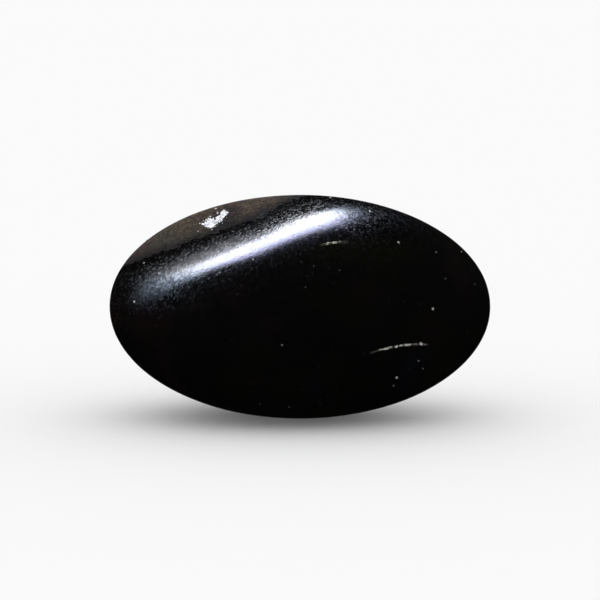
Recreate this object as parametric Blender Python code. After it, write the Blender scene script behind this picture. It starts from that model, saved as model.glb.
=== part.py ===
"""A polished oval stone of black tourmaline, lying on its long side on a small flat spot.

The stone is one piece. Seen from the front its outline is a plain ellipse. The front face is
gently domed and turns over a soft shoulder, which runs up to the right in a slight arc, into a
steeper upper-left face. The back is rounder and has one broad worn flat. Metres, +Z up.
"""
from math import cos, log1p, exp, radians, sin, hypot

import bmesh
import bpy
from mathutils import Matrix, Vector

# The outline: an ellipse, in a plane that leans back from upright
LENGTH = 0.0380
OUTLINE_HEIGHT = 0.0223
OUTLINE_LEAN = radians(8)

# The front face: how far it stands out of the outline plane, and how tightly its rim is rounded
FRONT = {
    "reach": 0.01055,
    "rim_power": 3.6,
    "peak": (-0.0029, -0.0020),
    "radius_along": 0.0335,
    "radius_across": 0.0270,
    "shoulder_at": 0.00794,
    "shoulder_middle": -0.0005,
    "shoulder_radius": 0.094,
    "shoulder_slope": 1.11,
    "shoulder_softness": 0.00089,
    "turn": radians(20),
}

# The back face: rounder, with a broad worn flat behind the lower right of the front
BACK = {
    "reach": 0.0138,
    "rim_power": 2.3,
    "peak": (0.0015, 0.0010),
    "radius_along": 0.0450,
    "radius_across": 0.0320,
    "shoulder_at": 0.0075,
    "shoulder_middle": 0.0,
    "shoulder_radius": 0.9,
    "shoulder_slope": 0.55,
    "shoulder_softness": 0.0016,
    "turn": radians(-155),
}
THINNEST_SOFTNESS = 0.0012

# The flat spot that the stone rests on is this far above where its round underside would end.
# Points nearer to its level than SAME_PLACE count as lying on it.
FLAT_SPOT_DEPTH = 0.0002
SAME_PLACE = 1e-7

# The round solid that is shaped into the stone
SPHERE_SUBDIVISIONS = 5
BISECTION_STEPS = 40
FARTHEST_RAY = 1.6


def soft_ramp(distance, softness):
    """Zero on one side and the distance on the other, with a rounded turn between them."""
    x = distance / softness
    return softness * (max(x, 0.0) + log1p(exp(-abs(x))))


def face_reach(across, up, face):
    """How far one face stands out of the outline plane at a place inside the outline."""
    inside = 1.0 - hypot(2 * across / LENGTH, 2 * up / OUTLINE_HEIGHT) ** face["rim_power"]
    if inside <= 0.0:
        return 0.0
    turn = face["turn"]
    s = across * cos(turn) + up * sin(turn)
    t = up * cos(turn) - across * sin(turn)
    dome = (face["reach"]
            - (s - face["peak"][0]) ** 2 / (2 * face["radius_along"])
            - (t - face["peak"][1]) ** 2 / (2 * face["radius_across"]))
    shoulder = face["shoulder_at"] + (s - face["shoulder_middle"]) ** 2 / (2 * face["shoulder_radius"])
    past_shoulder = soft_ramp(t - shoulder, face["shoulder_softness"])
    thickness = soft_ramp(dome - face["shoulder_slope"] * past_shoulder, THINNEST_SOFTNESS)
    return thickness * inside ** (1.0 / face["rim_power"])


def is_inside(point):
    """True where a point lies in the stone, before it is leaned back."""
    face = FRONT if point.z > 0 else BACK
    return abs(point.z) < face_reach(point.x, point.y, face)


def point_on_stone(direction):
    """The surface point on the ray from the middle of the stone, found by bisection."""
    ray = Vector((direction.x * LENGTH / 2,
                  direction.y * OUTLINE_HEIGHT / 2,
                  direction.z * (FRONT["reach"] + BACK["reach"]) / 2))
    near, far = 0.0, FARTHEST_RAY
    for _ in range(BISECTION_STEPS):
        middle = (near + far) / 2
        if is_inside(ray * middle):
            near = middle
        else:
            far = middle
    return ray * near


def cut_flat_spot(mesh):
    """Cut the underside level, and stand the flat spot on the ground."""
    level = min(vertex.co.z for vertex in mesh.verts) + FLAT_SPOT_DEPTH
    everything = mesh.verts[:] + mesh.edges[:] + mesh.faces[:]
    cut = bmesh.ops.bisect_plane(mesh, geom=everything, dist=SAME_PLACE, plane_co=(0, 0, level),
                                 plane_no=(0, 0, -1), clear_outer=True)
    rim = [item for item in cut["geom_cut"] if isinstance(item, bmesh.types.BMEdge)]
    bmesh.ops.edgeloop_fill(mesh, edges=rim)
    bmesh.ops.translate(mesh, verts=mesh.verts, vec=(0, 0, -level))


def centre_over_origin(mesh):
    """Put the middle of the stone's width and depth over the origin."""
    for axis in (0, 1):
        places = [vertex.co[axis] for vertex in mesh.verts]
        shift = Vector()
        shift[axis] = -(min(places) + max(places)) / 2
        bmesh.ops.translate(mesh, verts=mesh.verts, vec=shift)


def black_tourmaline():
    """Polished schorl: black, glossy, not metallic."""
    material = bpy.data.materials.new("black_tourmaline")
    material.use_nodes = True
    shader = material.node_tree.nodes["Principled BSDF"]
    shader.inputs["Base Color"].default_value = (0.004, 0.004, 0.0045, 1.0)
    shader.inputs["Roughness"].default_value = 0.12
    shader.inputs["Metallic"].default_value = 0.0
    shader.inputs["IOR"].default_value = 1.64
    return material


def make_stone(collection):
    """Shape a round solid into the stone, lean it back and cut its flat spot."""
    mesh = bmesh.new()
    bmesh.ops.create_icosphere(mesh, subdivisions=SPHERE_SUBDIVISIONS, radius=1.0)
    for vertex in mesh.verts:
        vertex.co = point_on_stone(vertex.co)
    upright = Matrix.Rotation(radians(90) - OUTLINE_LEAN, 3, "X")
    bmesh.ops.rotate(mesh, verts=mesh.verts, matrix=upright)
    cut_flat_spot(mesh)
    centre_over_origin(mesh)
    bmesh.ops.recalc_face_normals(mesh, faces=mesh.faces)

    data = bpy.data.meshes.new("black_tourmaline_stone")
    mesh.to_mesh(data)
    mesh.free()
    data.materials.append(black_tourmaline())
    data.shade_smooth()
    data.set_sharp_from_angle(angle=radians(40))
    stone = bpy.data.objects.new("black_tourmaline_stone", data)
    collection.objects.link(stone)
    return stone


def main():
    for item in list(bpy.data.objects):
        bpy.data.objects.remove(item)
    collection = bpy.data.collections.new("black_tourmaline_stone")
    bpy.context.scene.collection.children.link(collection)
    make_stone(collection)


main()
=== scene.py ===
"""The looks of a polished black tourmaline stone, on a plain pale floor in soft studio light."""
import math
import random

import bmesh
import bpy
import numpy as np
from mathutils import Matrix, Vector, noise


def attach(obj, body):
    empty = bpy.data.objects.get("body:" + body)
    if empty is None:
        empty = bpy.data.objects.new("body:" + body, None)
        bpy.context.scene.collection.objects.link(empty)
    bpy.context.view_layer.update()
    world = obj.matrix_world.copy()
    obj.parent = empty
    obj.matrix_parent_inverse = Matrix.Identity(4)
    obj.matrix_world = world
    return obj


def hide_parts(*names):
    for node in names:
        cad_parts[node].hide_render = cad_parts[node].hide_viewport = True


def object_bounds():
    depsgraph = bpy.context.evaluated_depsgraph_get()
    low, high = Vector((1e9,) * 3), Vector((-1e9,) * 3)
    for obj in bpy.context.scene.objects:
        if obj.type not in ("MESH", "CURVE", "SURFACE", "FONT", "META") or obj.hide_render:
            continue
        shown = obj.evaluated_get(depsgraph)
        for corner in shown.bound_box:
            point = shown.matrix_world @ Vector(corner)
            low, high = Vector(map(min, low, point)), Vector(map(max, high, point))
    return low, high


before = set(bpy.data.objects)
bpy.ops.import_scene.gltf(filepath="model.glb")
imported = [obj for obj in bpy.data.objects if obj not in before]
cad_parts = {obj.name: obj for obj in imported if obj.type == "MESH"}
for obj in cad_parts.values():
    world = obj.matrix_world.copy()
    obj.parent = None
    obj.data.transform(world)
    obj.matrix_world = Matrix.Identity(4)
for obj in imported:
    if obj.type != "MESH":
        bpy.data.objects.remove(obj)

CAD_LOW, CAD_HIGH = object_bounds()
NODE = "black_tourmaline_stone"
MM = 0.001

# The stone's shape, as the solid has it: an elliptical outline in a plane that leans back
LENGTH = 38.0 * MM
OUTLINE_HEIGHT = 22.3 * MM
OUTLINE_LEAN = math.radians(8)
FRONT = {
    "reach": 10.55 * MM,
    "rim_power": 3.6,
    "peak": (-2.9 * MM, -2.0 * MM),
    "radius_along": 33.5 * MM,
    "radius_across": 27.0 * MM,
    "shoulder_at": 7.94 * MM,
    "shoulder_middle": -0.5 * MM,
    "shoulder_radius": 94.0 * MM,
    "shoulder_slope": 1.11,
    "shoulder_softness": 0.89 * MM,
    "turn": math.radians(20),
}
BACK = {
    "reach": 13.8 * MM,
    "rim_power": 2.3,
    "peak": (1.5 * MM, 1.0 * MM),
    "radius_along": 45.0 * MM,
    "radius_across": 32.0 * MM,
    "shoulder_at": 7.5 * MM,
    "shoulder_middle": 0.0 * MM,
    "shoulder_radius": 900.0 * MM,
    "shoulder_slope": 0.55,
    "shoulder_softness": 1.6 * MM,
    "turn": math.radians(-155),
}
THINNEST_SOFTNESS = 1.2 * MM
FLAT_SPOT_DEPTH = 0.2 * MM
FARTHEST_RAY = 1.6
BISECTION_STEPS = 36
SOLID_SUBDIVISIONS = 5
SURFACE_SUBDIVISIONS = 7
FINER_STEPS = 2
SAME_PLACE = 1e-7
SLOPE_STEP = 0.01 * MM

# The faint unevenness of the polish, as (height, size of the lumps, seed)
UNEVENNESS = ((0.03 * MM, 7.0 * MM, 1), (0.006 * MM, 2.2 * MM, 2))
NOISE_SHIFT = (17.3, 5.1, 9.7)

# The photograph: a pixel at the stone is a tenth of a millimetre
PIXEL = 0.1 * MM
OUTLINE_CENTRE_PIXEL = (300.0, 306.5)
FRAME_CENTRE_PIXEL = (300.0, 300.0)
FRAME_PIXELS = 600
CAMERA_LENS = 180.0
CAMERA_SENSOR = 36.0
CAMERA_DISTANCE = FRAME_PIXELS * PIXEL * CAMERA_LENS / CAMERA_SENSOR
CAMERA_LIFT = (OUTLINE_CENTRE_PIXEL[1] - FRAME_CENTRE_PIXEL[1]) * PIXEL
SIGHT_STEPS = 6

# The white fleck: its lobes on the front face, as (middle, half lengths, turn), in pixels and
# degrees. Its other measures without a unit are in pixels too, or are shares of its strength.
FLECK_LOBES = (
    ((210.9, 223.2), (8.2, 6.1), 13.0),
    ((218.8, 219.0), (4.6, 3.4), 40.0),
    ((222.8, 214.6), (4.8, 3.6), 60.0),
    ((226.6, 212.6), (1.8, 1.2), 10.0),
    ((203.0, 224.2), (1.7, 1.7), 0.0),
    ((217.6, 212.8), (1.3, 1.3), 0.0),
)
FLECK_BOX = (196, 206, 232, 232)
FLECK_STEP = 0.5
FLECK_RAGGED = ((3.4, 0.40), (1.5, 0.40))
FLECK_SEED = 11
FLECK_GRAINS = 130
FLECK_GRAIN_RADII = (0.5, 1.2)
LOOSE_GRAIN_RADII = (0.25, 0.55)
LOOSE_GRAIN_SHARE = 0.04
CRUST_HEIGHT = 0.11 * MM
CRUST_SINK = 0.05 * MM
CRUST_STEEPNESS = 2.2
CRUST_JAGGEDNESS = 0.25
CRUST_STRAY = 0.18

# The fleck's strength where its finer mesh, its loose grains, its crust and its own grains begin
FINER_MESH_FROM = -1.0
LOOSE_GRAINS_FROM = -0.9
CRUST_FROM = -0.35
FLECK_GRAINS_FROM = 0.1

# Two healed cracks: the arc of each in the outline plane, and how deep it is cut
CRACK_LOW = {"left": 6.60 * MM, "right": 12.75 * MM, "top": (11.65 * MM, -3.68 * MM), "radius": 14.3 * MM}
CRACK_HIGH = {"left": 1.70 * MM, "right": 4.90 * MM, "top": (5.28 * MM, 6.34 * MM), "radius": 16.7 * MM}
CRACK_DEPTHS = ((CRACK_LOW, 0.05 * MM), (CRACK_HIGH, 0.012 * MM))
CRACK_HALF_WIDTH = 0.09 * MM
CRACK_END = 0.5 * MM
FINER_BESIDE_CRACKS = ((CRACK_LOW, 0.35 * MM), (CRACK_HIGH, 0.30 * MM))

# Grains grown along the cracks, as (crack, from x, to x, how many, radius), in millimetres. Their
# sizes are shares of that radius.
PALE_GRAINS = (
    (CRACK_LOW, 7.75, 8.10, 6, 0.075),
    (CRACK_LOW, 8.15, 8.70, 8, 0.095),
    (CRACK_LOW, 8.75, 9.10, 4, 0.065),
    (CRACK_LOW, 9.30, 9.50, 4, 0.100),
    (CRACK_LOW, 9.55, 9.80, 3, 0.065),
    (CRACK_LOW, 9.80, 10.00, 4, 0.095),
    (CRACK_LOW, 10.10, 10.55, 8, 0.100),
    (CRACK_LOW, 10.55, 10.90, 5, 0.070),
    (CRACK_LOW, 11.65, 11.95, 5, 0.085),
    (CRACK_LOW, 12.00, 12.50, 4, 0.035),
    (CRACK_HIGH, 2.15, 2.55, 4, 0.045),
    (CRACK_HIGH, 2.58, 2.68, 4, 0.095),
    (CRACK_HIGH, 2.70, 3.00, 5, 0.075),
    (CRACK_HIGH, 3.10, 3.35, 6, 0.105),
    (CRACK_HIGH, 3.35, 3.60, 4, 0.080),
    (CRACK_HIGH, 3.60, 3.95, 5, 0.045),
)
AMBER_GRAINS = ((CRACK_LOW, 11.10, 11.50, 8, 0.070),)
PALE_GRAINS_SEED = 31
AMBER_GRAINS_SEED = 37
CRACK_GRAIN_STRAY = 0.05
CRACK_GRAIN_SIZES = (0.6, 1.15)

# How far a grain is sunk, as a share of its radius, and how uneven its corners are
FLECK_GRAIN_SINK = 0.3
CRACK_GRAIN_SINK = 0.35
SPECK_SINK = 0.4
GRAIN_CORNERS = (0.65, 1.2)

# Single grains on the front face, as (x, y, radius), in pixels
SPECKS = (
    (398.5, 242.3, 2.0), (433.0, 308.6, 1.8), (396.6, 378.0, 2.0), (370.3, 211.6, 1.9), (134.2, 301.6, 1.7),
    (143.8, 263.0, 1.7), (282.0, 345.0, 0.9), (436.2, 252.2, 0.7), (461.6, 251.8, 0.9), (330.5, 197.6, 1.8),
    (393.6, 385.6, 0.9), (313.8, 266.0, 0.5), (339.8, 270.2, 0.5), (305.6, 287.2, 0.5), (474.6, 284.4, 0.6),
    (445.4, 278.6, 0.5), (404.0, 301.6, 0.4), (198.3, 231.2, 1.7), (252.9, 259.5, 1.2), (260.0, 404.0, 0.5),
    (289.0, 407.0, 0.5), (159.0, 273.5, 1.4), (215.6, 208.8, 1.6), (233.3, 231.5, 0.9), (418.5, 361.0, 0.8),
    (423.0, 368.5, 0.6),
)
SPECKS_SEED = 23
HIDDEN_SPECKS = 90
HIDDEN_SPECK_RADII = (0.4, 1.3)
HIDDEN_SPECK_POWER = 1.5
HIDDEN_SPECKS_ABOVE = 0.5 * MM

# The black, and hints of other colours in it, as (size of the blotches, seed, edge, colour). An
# edge is the two noise values between which one colour gives way to the next.
BLACK = (0.0012, 0.0012, 0.0012)
HINTS = (
    (5.0 * MM, 1.0, (0.40, 0.66), (0.0019, 0.0018, 0.0012)),
    (7.0 * MM, 2.0, (0.56, 0.72), (0.0040, 0.0018, 0.0020)),
    (6.0 * MM, 3.0, (0.56, 0.72), (0.0014, 0.0018, 0.0036)),
)
HINT_DETAIL = 2.0

# A patch is (middle, half lengths, turn in degrees, softness), in pixels
OLIVE_PATCH = ((360, 251), (52, 13), 0.0, 0.45)
OLIVE_BLACK = (0.0022, 0.0021, 0.0005)

# Pale inclusions, as (spacing, radius in spacings, seed, tone), and the greys that show as dots
INCLUSIONS = ((1.7 * MM, 0.060, 0.4, 0.016), (1.0 * MM, 0.080, 0.9, 0.006))
INCLUSION_BLUE = 1.1
SPARSE = (0.4, 0.9)

# A pale painted glint along each crack, as (crack, half width, colour)
PAINTED_CRACK_GLINTS = (
    (CRACK_LOW, 0.20 * MM, (0.034, 0.031, 0.026)),
    (CRACK_HIGH, 0.24 * MM, (0.030, 0.031, 0.020)),
)

# The dull upper face, which carries a brown painted reflection of the surroundings: how its edge wanders,
# as (size, detail, seed, distance), and how far up the face it begins, is full and has lost the gloss
UPPER_FACE_WANDER = ((2.2 * MM, 3.0, 4.0, 0.6 * MM), (0.4 * MM, 4.0, 5.0, 1.2 * MM))
UPPER_FACE_RISE = (-1.5 * MM, 4.0 * MM, 0.0, 0.45 * MM)
UPPER_FACE_EDGE = (10.52 * MM, 11.45 * MM)
PAINTED_REFLECTION_FULL = (10.70 * MM, 12.10 * MM, 0.34, 1.0)
GLOSS_LOST = (9.55 * MM, 10.25 * MM)
UPPER_FACE_ROUGH = (0.0, 0.15, 0.0, 1.0)
# Colours of the brown painted reflection on the upper face, and the nearly black patch of it beside the
# fleck
BROWN = (0.087, 0.069, 0.037)
RED_BROWN = (0.102, 0.067, 0.046)
OLIVE_BROWN = (0.070, 0.065, 0.038)
OLIVE_BROWN_PATCH = ((163, 240), (16, 9), 35.0, 0.6)
MAROON = (0.050, 0.026, 0.020)
MAROON_END = (-13.5 * MM, -9.5 * MM, 0.8, 0.0)
MOTTLES = (0.040, 0.029, 0.019)
SPOTS = (0.016, 0.012, 0.009)
DARK_BY_FLECK = (0.004, 0.002, 0.006)
DARK_BY_FLECK_PATCH = ((225, 217), (18, 10), 38.0, 0.4)
DARK_BY_FLECK_SHARE = 0.8

# Where the polish is coarse: at both ends of the shoulder and up the steep face
COARSE_LEFT = (-12.0 * MM, -6.0 * MM, 1.0, 0.0)
COARSE_RIGHT = (4.5 * MM, 8.0 * MM, 0.0, 1.0)
COARSE_UPWARDS = (2.0 * MM, 6.0 * MM, 0.1, 1.0)
COARSE_FACE = (6.9 * MM, 8.1 * MM, 0.15, 0.85)
GRAIN_BUMP = 0.008 * MM
GRAIN_LEAST = 0.8
GRAIN_COARSE = 0.7
PIT_SPACING = 0.42 * MM
PIT_EDGE = (0.20, 0.42)
PIT_DEPTH = 0.5
PIT_ROUGHNESS = 0.10
POLISH_ROUGHNESS = (0.12, 0.17)
FROSTED_SPACING = 0.21 * MM
FROSTED_EDGE = (0.50, 0.75)
FROSTED_ROUGHNESS = 0.16
DULL_SPACING = 0.26 * MM
DULL_EDGE = (0.35, 0.70)
DULL_SHARE = 0.65
FULL_GLOSS = (1.0, 1.0, 1.0)
FAINT_GLOSS = (0.04, 0.04, 0.04)
TOURMALINE_IOR = 1.64
CRYSTAL_IOR = 1.55

# Mineral grains, as (dull colour, bright colour)
WHITE_CRYSTAL = ((0.36, 0.36, 0.40), (0.93, 0.93, 0.93))
PALE_CRYSTAL = ((0.36, 0.35, 0.31), (0.62, 0.60, 0.55))
GREY_CRYSTAL = ((0.24, 0.24, 0.24), (0.42, 0.42, 0.41))
AMBER_CRYSTAL = ((0.16, 0.10, 0.08), (0.24, 0.17, 0.14))

# Stage and light. Directions are (right, up, towards the camera).
BACKDROP = 0.956
FLOOR_ALBEDO = 0.90
FLOOR_HALF_SIZE = 6.0
CAMERA_SEES_TO = 20.0
BACK_WEIGHT = 0.4
GLOSS_SURROUND = (0.0026, 0.0022, 0.0020)
SOFTBOX_STRENGTH = 25.0
SOFTBOX_REACH = 0.6
SOFTBOX_HALF_SIZE = (1.9, 1.2)
SOFTBOX_DIRECTION = (-0.423, 0.887, 0.186)
SOFTBOX_LONG_AXIS = (-0.703, -0.451, 0.550)

# The softbox's glow: a band with two edges, which slants past a bend and fades at both ends.
# Lengths are in reaches. A range is (from x, to x, value there, value there).
BEND = 0.1
NEAR_EDGE = 0.305
NEAR_SLANT = 0.66
NEAR_RIGHT_DROP = (-1.30, -0.60, 0.46, 0.0)
NEAR_SOFTNESS = (-0.95, -0.10, 0.30, 0.14)
FAR_EDGE = (-0.65, -0.20, -0.24, -0.05)
FAR_SLANT = 0.45
FAR_RIGHT_DROP = (-1.30, -0.90, 0.22, 0.0)
FAR_LEFT_DROP = (0.55, 1.05, 0.0, 0.19)
FAR_SOFTNESS = 0.05
FAR_SOFTENING = 0.3
HAZE_DEPTH = (-0.34, -0.12)
HAZE_LEVEL = (-0.46, -0.18, 0.0, 0.14)
LEFT_FADE = -4.4
RIGHT_FADES = ((-1.19, -0.66, 0.0, 0.94), (-1.6, -0.95, 0.0, 0.06))
GLOW_SIDES = (-0.15, 0.28)
GLOW_MIDDLE = -0.25
GLOW_ENDS = (0.45, 0.80)
FAR_COLOUR = (0.90, 0.93, 1.0)
NEAR_COLOUR = (0.65, 0.68, 1.0)
END_COLOUR = (0.63, 0.77, 1.0)


def from_pixel(x, y):
    """The place in the outline plane (across, up) that a pixel of the photograph shows."""
    return (x - OUTLINE_CENTRE_PIXEL[0]) * PIXEL, (OUTLINE_CENTRE_PIXEL[1] - y) * PIXEL


# The stone's surface as arrays of points

def soft_ramp(distance, softness):
    return softness * np.logaddexp(0.0, distance / softness)


def face_reach(across, up, face):
    """How far one face stands out of the outline plane."""
    inside = 1.0 - np.hypot(2 * across / LENGTH, 2 * up / OUTLINE_HEIGHT) ** face["rim_power"]
    turn = face["turn"]
    s = across * math.cos(turn) + up * math.sin(turn)
    t = up * math.cos(turn) - across * math.sin(turn)
    dome = (face["reach"]
            - (s - face["peak"][0]) ** 2 / (2 * face["radius_along"])
            - (t - face["peak"][1]) ** 2 / (2 * face["radius_across"]))
    shoulder = face["shoulder_at"] + (s - face["shoulder_middle"]) ** 2 / (2 * face["shoulder_radius"])
    past_shoulder = soft_ramp(t - shoulder, face["shoulder_softness"])
    thickness = soft_ramp(dome - face["shoulder_slope"] * past_shoulder, THINNEST_SOFTNESS)
    return thickness * np.maximum(inside, 0.0) ** (1.0 / face["rim_power"])


def on_front(px, py):
    """The place in the outline plane of the front point that a pixel of the photograph shows."""
    x, y = from_pixel(px, py)
    for _ in range(SIGHT_STEPS):
        nearer = 1.0 - face_reach(x, y, FRONT) / CAMERA_DISTANCE
        x = (px - FRAME_CENTRE_PIXEL[0]) * PIXEL * nearer
        y = CAMERA_LIFT + (FRAME_CENTRE_PIXEL[1] - py) * PIXEL * nearer
    return x, y


def points_on_stone(directions):
    """The surface points on rays from the middle of the stone, found by bisection."""
    half_depth = (FRONT["reach"] + BACK["reach"]) / 2
    rays = directions * np.array([LENGTH / 2, OUTLINE_HEIGHT / 2, half_depth])
    near = np.zeros(len(rays))
    far = np.full(len(rays), FARTHEST_RAY)
    for _ in range(BISECTION_STEPS):
        middle = (near + far) / 2
        x, y, z = (rays * middle[:, None]).T
        reach = np.where(z > 0, face_reach(x, y, FRONT), face_reach(x, y, BACK))
        inside = np.abs(z) < reach
        near = np.where(inside, middle, near)
        far = np.where(inside, far, middle)
    return rays * near[:, None]


def crack_height(x, crack):
    """How far up the outline plane a crack's arc runs, at a place across."""
    top_x, top_y = crack["top"]
    return top_y - (x - top_x) ** 2 / (2 * crack["radius"])


def crack_distance(x, y, crack):
    """Distance from a crack's arc in the outline plane, and the share of the way along it."""
    left, right = crack["left"], crack["right"]
    past_end = np.maximum(np.maximum(left - x, x - right), 0.0)
    return np.hypot(y - crack_height(x, crack), past_end), (x - left) / (right - left)


def fleck_strength(px, py):
    """Above 0 inside the fleck's lobes and below 0 outside, at a pixel."""
    best = np.full(np.shape(px), -np.inf)
    for (cx, cy), (half_long, half_short), degrees in FLECK_LOBES:
        turn = math.radians(degrees)
        a = ((px - cx) * math.cos(turn) - (py - cy) * math.sin(turn)) / half_long
        b = ((py - cy) * math.cos(turn) + (px - cx) * math.sin(turn)) / half_short
        best = np.maximum(best, 1.0 - np.hypot(a, b))
    return best


def ragged_fleck(px, py):
    """The fleck's strength at one pixel, with an edge broken up by noise."""
    rough = sum(amount * noise.noise(Vector((px / size, py / size, size))) for size, amount in FLECK_RAGGED)
    return float(fleck_strength(np.array(px), np.array(py))) + rough


def noise_at(points, size, seed):
    """Smooth noise from -1 to 1, with lumps of about the given size."""
    shift = Vector([part * seed for part in NOISE_SHIFT])
    return np.array([noise.noise(Vector(p) / size + shift) for p in points])


def near_features(points):
    """Which points lie close enough to the fleck or a crack to need a finer mesh."""
    x, y, z = points.T
    scale = PIXEL * (1.0 - z / CAMERA_DISTANCE)
    px = FRAME_CENTRE_PIXEL[0] + x / scale
    py = FRAME_CENTRE_PIXEL[1] - (y - CAMERA_LIFT) / scale
    close = fleck_strength(px, py) > FINER_MESH_FROM
    for crack, reach in FINER_BESIDE_CRACKS:
        away, _ = crack_distance(x, y, crack)
        close |= away < reach
    return (z > 0) & close


def relief(points):
    """How far each point is raised: a faint unevenness of the polish, and the cracks."""
    x, y, z = points.T
    raised = sum(height * noise_at(points, size, seed) for height, size, seed in UNEVENNESS)
    for crack, depth in CRACK_DEPTHS:
        away, share = crack_distance(x, y, crack)
        fade = np.clip(4 * share * (1 - share), 0.0, 1.0) ** 0.5
        raised -= np.where(z > 0, depth * fade * np.exp(-(away / CRACK_HALF_WIDTH) ** 2), 0.0)
    return raised


def vertex_array(mesh):
    return np.array([vertex.co[:] for vertex in mesh.verts])


def set_vertices(mesh, places):
    for vertex, place in zip(mesh.verts, places):
        vertex.co = place


def lean_back(points):
    """Points of the outline plane's frame, leaned back as the stone lies."""
    c, s = math.cos(OUTLINE_LEAN), math.sin(OUTLINE_LEAN)
    x, y, z = points.T
    return np.stack([x, y * s - z * c, y * c + z * s], axis=1)


def to_frame(points):
    """Points of the outline plane's frame, leaned back and set down as the solid is."""
    return lean_back(points) + OUTLINE_CENTRE


def find_outline_centre():
    """Where the middle of the outline lies in the frame, from the solid's points and its box."""
    mesh = bmesh.new()
    bmesh.ops.create_icosphere(mesh, subdivisions=SOLID_SUBDIVISIONS, radius=1.0)
    _, depth, height = lean_back(points_on_stone(vertex_array(mesh))).T
    mesh.free()
    return np.array([
        (CAD_LOW.x + CAD_HIGH.x) / 2,
        (CAD_LOW.y + CAD_HIGH.y) / 2 - (depth.min() + depth.max()) / 2,
        -(height.min() + FLAT_SPOT_DEPTH),
    ])


OUTLINE_CENTRE = find_outline_centre()


# Shader nodes

class Nodes:
    """A material's nodes, with short calls to add more."""

    def __init__(self, name):
        self.material = bpy.data.materials.new(name)
        self.material.use_nodes = True
        self.tree = self.material.node_tree
        self.shader = self.tree.nodes["Principled BSDF"]
        self.place = self.tree.nodes.new("ShaderNodeTexCoord").outputs["Object"]

    def feed(self, socket, value):
        if isinstance(value, tuple):
            socket.default_value = (*value, 1.0) if len(socket.default_value) == 4 else value
        elif isinstance(value, (int, float)):
            socket.default_value = value
        else:
            self.tree.links.new(value, socket)

    def set(self, name, value):
        self.feed(self.shader.inputs[name], value)

    def math(self, operation, first, second=0.0, clamp=False):
        node = self.tree.nodes.new("ShaderNodeMath")
        node.operation = operation
        node.use_clamp = clamp
        self.feed(node.inputs[0], first)
        self.feed(node.inputs[1], second)
        return node.outputs[0]

    def ramp(self, value, low, high, to_low=0.0, to_high=1.0, kind="SMOOTHSTEP"):
        node = self.tree.nodes.new("ShaderNodeMapRange")
        node.interpolation_type = kind
        numbers = {"Value": value, "From Min": low, "From Max": high, "To Min": to_low, "To Max": to_high}
        for name, number in numbers.items():
            self.feed(node.inputs[name], number)
        return node.outputs["Result"]

    def noise(self, size, detail=2.0, seed=0.0):
        node = self.tree.nodes.new("ShaderNodeTexNoise")
        node.noise_dimensions = "4D"
        self.feed(node.inputs["Vector"], self.place)
        self.feed(node.inputs["W"], seed)
        self.feed(node.inputs["Scale"], 1.0 / size)
        self.feed(node.inputs["Detail"], detail)
        return node.outputs["Fac"]

    def dots(self, spacing, seed=0.0):
        """Distance from scattered points, in spacings, and a random grey for each point."""
        node = self.tree.nodes.new("ShaderNodeTexVoronoi")
        shifted = self.tree.nodes.new("ShaderNodeVectorMath")
        self.feed(shifted.inputs[0], self.place)
        self.feed(shifted.inputs[1], (seed, seed, seed))
        self.feed(node.inputs["Vector"], shifted.outputs[0])
        self.feed(node.inputs["Scale"], 1.0 / spacing)
        return node.outputs["Distance"], node.outputs["Color"]

    def mix(self, share, first, second):
        node = self.tree.nodes.new("ShaderNodeMix")
        node.data_type = "RGBA"
        self.feed(node.inputs[0], share)
        self.feed(node.inputs[6], first)
        self.feed(node.inputs[7], second)
        return node.outputs[2]

    def blotches(self, size, detail, seed, edge, first, second, most=1.0):
        """The second colour in noisy blotches over the first."""
        return self.mix(self.ramp(self.noise(size, detail, seed), *edge, 0.0, most), first, second)

    def sparse_dots(self, spacing, seed, inner, outer):
        """1 within inner of some scattered points, fading to 0 at outer, both in spacings."""
        distance, random_grey = self.dots(spacing, seed)
        return self.math("MULTIPLY", self.ramp(distance, inner, outer, 1.0, 0.0),
                         self.ramp(random_grey, *SPARSE))

    def along(self, direction, origin):
        """The distance of a place along a direction, from an origin."""
        node = self.tree.nodes.new("ShaderNodeVectorMath")
        node.operation = "DOT_PRODUCT"
        self.feed(node.inputs[0], self.place)
        self.feed(node.inputs[1], tuple(direction))
        return self.math("SUBTRACT", node.outputs["Value"], float(np.dot(direction, origin)))

    def patch(self, plane, middle, half, degrees, soft):
        """1 inside an ellipse on the front face, in pixels, and 0 outside its soft edge."""
        cx, cy = on_front(*middle)
        turn = math.radians(degrees)
        x = self.math("SUBTRACT", plane[0], float(cx))
        y = self.math("SUBTRACT", plane[1], float(cy))
        squares = []
        directions = ((math.cos(turn), math.sin(turn)), (-math.sin(turn), math.cos(turn)))
        for (a, b), length in zip(directions, half):
            value = self.math("ADD", self.math("MULTIPLY", x, a), self.math("MULTIPLY", y, b))
            share = self.math("DIVIDE", value, length * PIXEL)
            squares.append(self.math("MULTIPLY", share, share))
        radius = self.math("SQRT", self.math("ADD", *squares))
        return self.math("MULTIPLY", self.ramp(radius, 1.0 - soft, 1.0 + soft, 1.0, 0.0), plane[2])

    def crack_line(self, plane, crack, half_width):
        """1 along a crack's arc on the front face, fading to 0 beside it and at its ends."""
        away_x = self.math("SUBTRACT", plane[0], crack["top"][0])
        drop = self.math("DIVIDE", self.math("MULTIPLY", away_x, away_x), 2 * crack["radius"])
        arc = self.math("SUBTRACT", crack["top"][1], drop)
        away = self.math("ABSOLUTE", self.math("SUBTRACT", plane[1], arc))
        line = self.ramp(away, 0.0, half_width, 1.0, 0.0)
        ends = self.math("MULTIPLY", self.ramp(plane[0], crack["left"], crack["left"] + CRACK_END),
                         self.ramp(plane[0], crack["right"] - CRACK_END, crack["right"], 1.0, 0.0))
        return self.math("MULTIPLY", self.math("MULTIPLY", line, ends), plane[2])


def plane_direction(turn):
    """The direction in the outline plane that is turned so far from +X, in the frame."""
    c, s = math.cos(OUTLINE_LEAN), math.sin(OUTLINE_LEAN)
    return (math.cos(turn), math.sin(turn) * s, math.sin(turn) * c)


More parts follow.
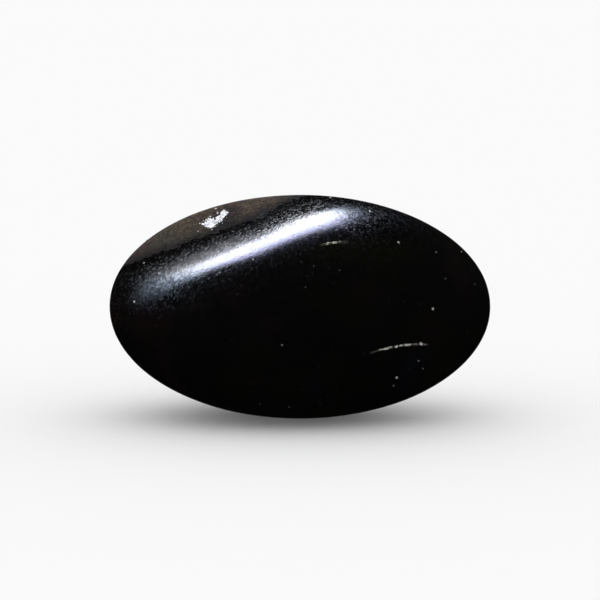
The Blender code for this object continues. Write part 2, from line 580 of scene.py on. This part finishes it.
def stone_black(n, plane):
    """Black with hints of other colours, pale inclusions, and a pale painted glint along the cracks."""
    black = BLACK
    for size, seed, edge, hint in HINTS:
        black = n.blotches(size, HINT_DETAIL, seed, edge, black, hint)
    black = n.mix(n.patch(plane, *OLIVE_PATCH), black, OLIVE_BLACK)
    for spacing, radius, seed, tone in INCLUSIONS:
        dot = n.sparse_dots(spacing, seed, radius * 0.5, radius)
        black = n.mix(dot, black, (tone, tone, tone * INCLUSION_BLUE))
    # A pale painted glint along each crack
    for crack, half_width, glint_colour in PAINTED_CRACK_GLINTS:
        black = n.mix(n.crack_line(plane, crack, half_width), black, glint_colour)
    return black


def ragged_across(n, along, across):
    """The distance up the face, made to wander, so that what depends on it has a ragged edge."""
    (size, detail, seed, wide), (fine_size, fine_detail, fine_seed, narrow) = UPPER_FACE_WANDER
    wander = n.math("ADD", n.math("MULTIPLY", n.noise(size, detail, seed), wide),
                    n.math("MULTIPLY", n.noise(fine_size, fine_detail, fine_seed), narrow))
    return n.math("SUBTRACT", n.math("ADD", across, wander), n.ramp(along, *UPPER_FACE_RISE))


def painted_reflection_brown(n, plane, along, upper_face_place):
    """A painted reflection of brownish surroundings: mottled browns, maroon at the left end and nearly
    black round the fleck, thinner at the edge.
    """
    brown = n.blotches(1.1 * MM, 4.0, 6.0, (0.38, 0.62), BROWN, RED_BROWN)
    brown = n.mix(n.patch(plane, *OLIVE_BROWN_PATCH), brown, OLIVE_BROWN)
    brown = n.mix(n.ramp(along, *MAROON_END), brown, MAROON)
    brown = n.blotches(0.60 * MM, 4.0, 14.0, (0.46, 0.62), brown, MOTTLES, 0.7)
    brown = n.blotches(0.24 * MM, 3.0, 7.0, (0.44, 0.60), brown, SPOTS, 0.75)
    dark_by_fleck = n.math("MULTIPLY", n.patch(plane, *DARK_BY_FLECK_PATCH),
                  n.ramp(n.noise(0.40 * MM, 2.0, 8.0), 0.30, 0.54))
    brown = n.mix(n.math("MULTIPLY", dark_by_fleck, DARK_BY_FLECK_SHARE), brown, DARK_BY_FLECK)
    return n.mix(n.ramp(upper_face_place, *PAINTED_REFLECTION_FULL, "LINEAR"), (0.0, 0.0, 0.0), brown)


def coarseness(n, along, across):
    """How coarse the polish is, from 0 to 1."""
    ends = n.math("ADD", n.ramp(along, *COARSE_LEFT), n.ramp(along, *COARSE_RIGHT))
    ends = n.math("MULTIPLY", ends, n.ramp(across, *COARSE_UPWARDS))
    return n.math("MAXIMUM", ends, n.ramp(across, *COARSE_FACE))


def set_grain(n, coarse, pits):
    """A fine grain left in the polish, with minute pits."""
    grain = n.math("ADD", n.noise(0.16 * MM, 2.0, 9.0), n.noise(0.45 * MM, 2.0, 13.0))
    strength = n.math("ADD", n.math("MULTIPLY", coarse, GRAIN_COARSE), GRAIN_LEAST)
    grain = n.math("MULTIPLY", grain, strength)
    grain = n.math("SUBTRACT", grain, n.math("MULTIPLY", pits, PIT_DEPTH))
    bump = n.tree.nodes.new("ShaderNodeBump")
    n.feed(bump.inputs["Strength"], 1.0)
    n.feed(bump.inputs["Distance"], GRAIN_BUMP)
    n.feed(bump.inputs["Height"], grain)
    n.set("Normal", bump.outputs["Normal"])


def set_gloss(n, coarse, pits, upper_face, upper_face_place):
    """Glossy, with frosted grains and dull grains where the polish is coarse. The upper face is dull."""
    _, frosted = n.dots(FROSTED_SPACING, 0.6)
    _, dull = n.dots(DULL_SPACING, 0.8)
    rough = n.ramp(n.noise(0.30 * MM, 2.0, 10.0), 0.35, 0.65, *POLISH_ROUGHNESS)
    rough = n.math("ADD", rough, n.math("MULTIPLY", pits, PIT_ROUGHNESS))
    frost = n.math("MULTIPLY", n.ramp(frosted, *FROSTED_EDGE), coarse)
    rough = n.math("ADD", rough, n.math("MULTIPLY", frost, FROSTED_ROUGHNESS))
    n.set("Roughness", n.math("MAXIMUM", rough, n.ramp(upper_face, *UPPER_FACE_ROUGH)))
    dullness = n.math("MULTIPLY", n.math("MULTIPLY", n.ramp(dull, *DULL_EDGE), coarse), DULL_SHARE)
    dullness = n.math("MAXIMUM", dullness, n.ramp(upper_face_place, *GLOSS_LOST))
    n.set("Specular Tint", n.mix(dullness, FULL_GLOSS, FAINT_GLOSS))
    n.set("IOR", TOURMALINE_IOR)


def tourmaline_material():
    n = Nodes("polished_black_tourmaline")
    turn = FRONT["turn"]
    along = n.along(plane_direction(turn), OUTLINE_CENTRE)
    across = n.along(plane_direction(turn + math.pi / 2), OUTLINE_CENTRE)
    depth = n.along((0.0, -math.cos(OUTLINE_LEAN), math.sin(OUTLINE_LEAN)), OUTLINE_CENTRE)
    plane = (n.along(plane_direction(0.0), OUTLINE_CENTRE),
             n.along(plane_direction(math.pi / 2), OUTLINE_CENTRE), n.ramp(depth, 0.0, 1.0 * MM))
    upper_face_place = ragged_across(n, along, across)
    upper_face = n.ramp(upper_face_place, *UPPER_FACE_EDGE)
    coarse = coarseness(n, along, across)
    pits = n.sparse_dots(PIT_SPACING, 0.2, *PIT_EDGE)
    # Black below, and the brown painted reflection on the upper face
    n.set("Base Color", n.mix(upper_face, stone_black(n, plane), painted_reflection_brown(n, plane, along, upper_face_place)))
    set_grain(n, coarse, pits)
    set_gloss(n, coarse, pits, upper_face, upper_face_place)
    return n.material


def crystal_material(name, dull, bright):
    """Pale mineral grains, a little uneven in tone and glassy."""
    n = Nodes(name)
    n.set("Base Color", n.blotches(0.25 * MM, 2.0, 11.0, (0.34, 0.56), dull, bright))
    n.set("Roughness", n.ramp(n.noise(0.15 * MM, 1.0, 12.0), 0.3, 0.7, 0.30, 0.55))
    n.set("IOR", CRYSTAL_IOR)
    return n.material


# Pieces

def add_object(name, mesh, material):
    data = bpy.data.meshes.new(name)
    mesh.to_mesh(data)
    mesh.free()
    data.materials.append(material)
    piece = bpy.data.objects.new(name, data)
    bpy.context.scene.collection.objects.link(piece)
    return piece


def add_piece(name, mesh, material):
    """A mesh that belongs to the stone: it rides on the stone."""
    piece = add_object(name, mesh, material)
    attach(piece, "root")
    return piece


def make_stone():
    mesh = bmesh.new()
    bmesh.ops.create_icosphere(mesh, subdivisions=SURFACE_SUBDIVISIONS, radius=1.0)
    for _ in range(FINER_STEPS):
        close = near_features(points_on_stone(vertex_array(mesh)))
        edges = [edge for edge in mesh.edges if any(close[vertex.index] for vertex in edge.verts)]
        bmesh.ops.subdivide_edges(mesh, edges=edges, cuts=1, use_grid_fill=True)
        bmesh.ops.triangulate(mesh, faces=[face for face in mesh.faces if len(face.verts) > 3])
        for vertex in mesh.verts:
            vertex.co.normalize()
        mesh.verts.index_update()
    points = points_on_stone(vertex_array(mesh))
    set_vertices(mesh, points)
    mesh.normal_update()
    normals = np.array([vertex.normal[:] for vertex in mesh.verts])
    set_vertices(mesh, to_frame(points + normals * relief(points)[:, None]))
    everything = mesh.verts[:] + mesh.edges[:] + mesh.faces[:]
    cut = bmesh.ops.bisect_plane(mesh, geom=everything, dist=SAME_PLACE, plane_co=(0, 0, 0),
                                 plane_no=(0, 0, -1), clear_outer=True)
    rim = [item for item in cut["geom_cut"] if isinstance(item, bmesh.types.BMEdge)]
    bmesh.ops.edgeloop_fill(mesh, edges=rim)
    bmesh.ops.recalc_face_normals(mesh, faces=mesh.faces)
    for face in mesh.faces:
        face.smooth = len(face.verts) < 5
    stone = add_piece("stone_surface", mesh, tourmaline_material())
    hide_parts(NODE)


def front_points(x, y):
    """Points on the front face, and the directions that the face looks there, as arrays."""
    z = face_reach(x, y, FRONT)
    rise_x = (face_reach(x + SLOPE_STEP, y, FRONT) - z) / SLOPE_STEP
    rise_y = (face_reach(x, y + SLOPE_STEP, FRONT) - z) / SLOPE_STEP
    normals = np.stack([-rise_x, -rise_y, np.ones_like(z)], axis=-1)
    normals /= np.linalg.norm(normals, axis=-1, keepdims=True)
    return np.stack([x, y, z], axis=-1), normals


def add_grain(mesh, middle, size, dice):
    """One small angular grain round a point of the frame."""
    axis = Vector([dice.gauss(0, 1) for _ in range(3)]).normalized()
    matrix = Matrix.Translation(middle) @ Matrix.Rotation(dice.uniform(0, math.tau), 4, axis)
    made = bmesh.ops.create_icosphere(mesh, subdivisions=1, radius=size, matrix=matrix)
    for vertex in made["verts"]:
        vertex.co = middle + (vertex.co - middle) * dice.uniform(*GRAIN_CORNERS)


def add_front_grain(mesh, x, y, radius, sink, dice):
    """A grain at a place on the front face, sunk by a share of its radius."""
    point, normal = front_points(np.array([x]), np.array([y]))
    place = to_frame(point - normal * radius * sink)[0]
    add_grain(mesh, Vector(place), radius, dice)


def make_fleck(material):
    """The white fleck: a jagged crust with a ragged edge, and loose grains round it."""
    left, top, right, bottom = FLECK_BOX
    columns = np.arange(left, right, FLECK_STEP)
    rows = np.arange(top, bottom, FLECK_STEP)
    dice = random.Random(FLECK_SEED)
    mesh = bmesh.new()
    grid = {}
    for i, px in enumerate(columns):
        for j, py in enumerate(rows):
            strength = ragged_fleck(px, py)
            if strength < CRUST_FROM:
                continue
            height = CRUST_HEIGHT * min(max(strength * CRUST_STEEPNESS, -1.0), 1.0) - CRUST_SINK
            height += dice.uniform(-CRUST_JAGGEDNESS, CRUST_JAGGEDNESS) * CRUST_HEIGHT * (strength > 0)
            x, y = on_front(px + dice.uniform(-CRUST_STRAY, CRUST_STRAY),
                            py + dice.uniform(-CRUST_STRAY, CRUST_STRAY))
            point, normal = front_points(np.array([x]), np.array([y]))
            grid[i, j] = mesh.verts.new(Vector(to_frame(point + normal * height)[0]))
    for i, j in grid:
        corners = [grid.get(key) for key in ((i, j), (i, j + 1), (i + 1, j + 1), (i + 1, j))]
        if all(corners):
            mesh.faces.new(corners)
    unused = [vertex for vertex in mesh.verts if not vertex.link_faces]
    bmesh.ops.delete(mesh, geom=unused, context="VERTS")
    bmesh.ops.triangulate(mesh, faces=mesh.faces)
    placed = 0
    while placed < FLECK_GRAINS:
        px, py = dice.uniform(left, right), dice.uniform(top, bottom)
        strength = ragged_fleck(px, py)
        loose = strength > LOOSE_GRAINS_FROM and dice.random() < LOOSE_GRAIN_SHARE
        inside = strength >= FLECK_GRAINS_FROM
        if not (inside or loose):
            continue
        radius = dice.uniform(*(FLECK_GRAIN_RADII if inside else LOOSE_GRAIN_RADII))
        add_front_grain(mesh, *on_front(px, py), radius * PIXEL, FLECK_GRAIN_SINK, dice)
        placed += 1
    add_piece("white_crystal_fleck", mesh, material)


def make_crack_grains(name, runs, material, seed):
    """Mineral grains grown along the healed cracks."""
    dice = random.Random(seed)
    mesh = bmesh.new()
    for crack, start, end, count, radius in runs:
        for _ in range(count):
            x = dice.uniform(start, end) * MM
            y = crack_height(x, crack) + dice.gauss(0, CRACK_GRAIN_STRAY) * MM
            size = radius * MM * dice.uniform(*CRACK_GRAIN_SIZES)
            add_front_grain(mesh, x, y, size, CRACK_GRAIN_SINK, dice)
    add_piece(name, mesh, material)


def make_specks(material):
    """Single pale grains: those seen on the front, and more strewn over the back."""
    dice = random.Random(SPECKS_SEED)
    mesh = bmesh.new()
    for px, py, radius in SPECKS:
        add_front_grain(mesh, *on_front(px, py), radius * PIXEL, SPECK_SINK, dice)
    directions = np.array([[dice.gauss(0, 1) for _ in range(3)] for _ in range(HIDDEN_SPECKS)])
    directions[:, 2] = -np.abs(directions[:, 2])
    directions /= np.linalg.norm(directions, axis=1, keepdims=True)
    for place in to_frame(points_on_stone(directions)):
        if place[2] > HIDDEN_SPECKS_ABOVE:
            radius = dice.uniform(*HIDDEN_SPECK_RADII) ** HIDDEN_SPECK_POWER
            add_grain(mesh, Vector(place), radius * PIXEL, dice)
    add_piece("pale_crystal_specks", mesh, material)


# Stage, light and camera

def view_frame():
    """The directions right, up and towards the camera, which looks square at the outline plane."""
    c, s = math.cos(OUTLINE_LEAN), math.sin(OUTLINE_LEAN)
    return Vector((1, 0, 0)), Vector((0, s, c)), Vector((0, -c, s))


def make_floor():
    n = Nodes("pale_floor")
    n.set("Base Color", (FLOOR_ALBEDO,) * 3)
    n.set("Roughness", 1.0)
    n.set("Specular IOR Level", 0.0)
    n.set("Emission Color", (1.0, 1.0, 1.0))
    n.set("Emission Strength", BACKDROP * (1 - FLOOR_ALBEDO))
    mesh = bmesh.new()
    bmesh.ops.create_grid(mesh, x_segments=1, y_segments=1, size=FLOOR_HALF_SIZE)
    floor = add_object("floor", mesh, n.material)
    floor.visible_glossy = False


def softbox_glow(n, x, y):
    """How brightly the softbox glows at a place on it."""
    past_bend = n.math("MAXIMUM", n.math("SUBTRACT", x, BEND), 0.0)
    near_middle = n.math("SUBTRACT", NEAR_EDGE, n.math("MULTIPLY", past_bend, NEAR_SLANT))
    near_middle = n.math("SUBTRACT", near_middle, n.ramp(x, *NEAR_RIGHT_DROP, "LINEAR"))
    near_half = n.ramp(x, *NEAR_SOFTNESS)
    far_middle = n.math("SUBTRACT", n.ramp(x, *FAR_EDGE), n.math("MULTIPLY", past_bend, FAR_SLANT))
    far_middle = n.math("SUBTRACT", far_middle, n.ramp(x, *FAR_RIGHT_DROP))
    far_middle = n.math("SUBTRACT", far_middle, n.ramp(x, *FAR_LEFT_DROP))
    far_half = n.math("ADD", n.math("MULTIPLY", past_bend, FAR_SOFTENING), FAR_SOFTNESS)
    past_near = n.math("DIVIDE", n.math("SUBTRACT", y, near_middle), near_half)
    near = n.ramp(past_near, -1.0, 1.0, 1.0, 0.0)
    past_far = n.math("SUBTRACT", y, far_middle)
    far = n.ramp(n.math("DIVIDE", past_far, far_half), -1.0, 1.0)
    haze = n.math("MULTIPLY", n.ramp(past_far, *HAZE_DEPTH), n.ramp(x, *HAZE_LEVEL))
    band = n.math("MULTIPLY", near, n.math("MAXIMUM", far, haze))
    fade = n.math("MULTIPLY", n.math("MULTIPLY", past_bend, past_bend), LEFT_FADE)
    left_fade = n.math("POWER", math.e, fade)
    steep, gradual = RIGHT_FADES
    right_fade = n.math("ADD", n.ramp(x, *steep), n.ramp(x, *gradual))
    return n.math("MULTIPLY", n.math("MULTIPLY", band, left_fade), right_fade)


def softbox_colour(n, x, y):
    """Bluish towards the band's near edge, and cooler still at its ends."""
    side = n.mix(n.ramp(y, *GLOW_SIDES), FAR_COLOUR, NEAR_COLOUR)
    from_middle = n.math("ABSOLUTE", n.math("SUBTRACT", x, GLOW_MIDDLE))
    return n.mix(n.ramp(from_middle, *GLOW_ENDS), side, END_COLOUR)


def make_softbox():
    """A long softbox almost overhead. Only gloss shows it."""
    to_world = Matrix(view_frame()).transposed()
    direction = (to_world @ Vector(SOFTBOX_DIRECTION)).normalized()
    long_axis = to_world @ Vector(SOFTBOX_LONG_AXIS)
    long_axis = (long_axis - direction * long_axis.dot(direction)).normalized()
    short_axis = direction.cross(long_axis)
    n = Nodes("softbox")
    emission = n.tree.nodes.new("ShaderNodeEmission")
    split = n.tree.nodes.new("ShaderNodeSeparateXYZ")
    n.feed(split.inputs[0], n.place)
    x, y = split.outputs["X"], split.outputs["Y"]
    n.feed(emission.inputs["Color"], softbox_colour(n, x, y))
    n.feed(emission.inputs["Strength"], n.math("MULTIPLY", softbox_glow(n, x, y), SOFTBOX_STRENGTH))
    n.feed(n.tree.nodes["Material Output"].inputs["Surface"], emission.outputs[0])
    n.tree.nodes.remove(n.shader)
    mesh = bmesh.new()
    bmesh.ops.create_grid(mesh, x_segments=1, y_segments=1, size=1.0)
    for vertex in mesh.verts:
        vertex.co.x *= SOFTBOX_HALF_SIZE[0]
        vertex.co.y *= SOFTBOX_HALF_SIZE[1]
    box = add_object("softbox", mesh, n.material)
    axes = Matrix((long_axis, short_axis, direction)).transposed().to_4x4()
    place = Matrix.Translation(Vector(OUTLINE_CENTRE) + direction * SOFTBOX_REACH)
    box.matrix_world = place @ axes @ Matrix.Scale(SOFTBOX_REACH, 4)
    box.visible_camera = False
    box.visible_diffuse = False
    box.visible_shadow = False


def make_world():
    """A pale dome, a little brighter behind, of which the stone's gloss shows almost nothing."""
    world = bpy.data.worlds.new("studio")
    world.use_nodes = True
    bpy.context.scene.world = world
    nodes, links = world.node_tree.nodes, world.node_tree.links

    def math_node(operation, first, second):
        node = nodes.new("ShaderNodeMath")
        node.operation = operation
        for socket, value in zip(node.inputs, (first, second)):
            if isinstance(value, float):
                socket.default_value = value
            else:
                links.new(value, socket)
        return node.outputs[0]

    path = nodes.new("ShaderNodeLightPath")
    split = nodes.new("ShaderNodeSeparateXYZ")
    links.new(nodes.new("ShaderNodeTexCoord").outputs["Generated"], split.inputs[0])
    unseen = math_node("SUBTRACT", 1.0, path.outputs["Is Camera Ray"])
    behind = math_node("MULTIPLY", math_node("MULTIPLY", split.outputs["Y"], BACK_WEIGHT), unseen)
    links.new(math_node("ADD", behind, 1.0), nodes["Background"].inputs["Strength"])
    mix = nodes.new("ShaderNodeMix")
    mix.data_type = "RGBA"
    mix.inputs[6].default_value = (BACKDROP, BACKDROP, BACKDROP, 1.0)
    mix.inputs[7].default_value = (*GLOSS_SURROUND, 1.0)
    links.new(path.outputs["Is Glossy Ray"], mix.inputs[0])
    links.new(mix.outputs[2], nodes["Background"].inputs["Color"])


def make_camera():
    right, up, towards = view_frame()
    camera = bpy.data.cameras.new("camera")
    camera.lens = CAMERA_LENS
    camera.sensor_width = CAMERA_SENSOR
    camera.clip_end = CAMERA_SEES_TO
    holder = bpy.data.objects.new("camera", camera)
    holder.location = Vector(OUTLINE_CENTRE) + up * CAMERA_LIFT + towards * CAMERA_DISTANCE
    holder.rotation_euler = Matrix((right, up, towards)).transposed().to_euler()
    bpy.context.scene.collection.objects.link(holder)
    bpy.context.scene.camera = holder


def set_colours():
    view = bpy.context.scene.view_settings
    view.view_transform = "Standard"
    view.look = "None"


make_stone()
make_fleck(crystal_material("white_crystal_grains", *WHITE_CRYSTAL))
make_crack_grains("pale_crack_grains", PALE_GRAINS,
                  crystal_material("pale_crystal_grains", *PALE_CRYSTAL), PALE_GRAINS_SEED)
make_crack_grains("amber_crack_grains", AMBER_GRAINS,
                  crystal_material("amber_crystal_grains", *AMBER_CRYSTAL), AMBER_GRAINS_SEED)
make_specks(crystal_material("grey_crystal_grains", *GREY_CRYSTAL))
make_floor()
make_softbox()
make_world()
make_camera()
set_colours()
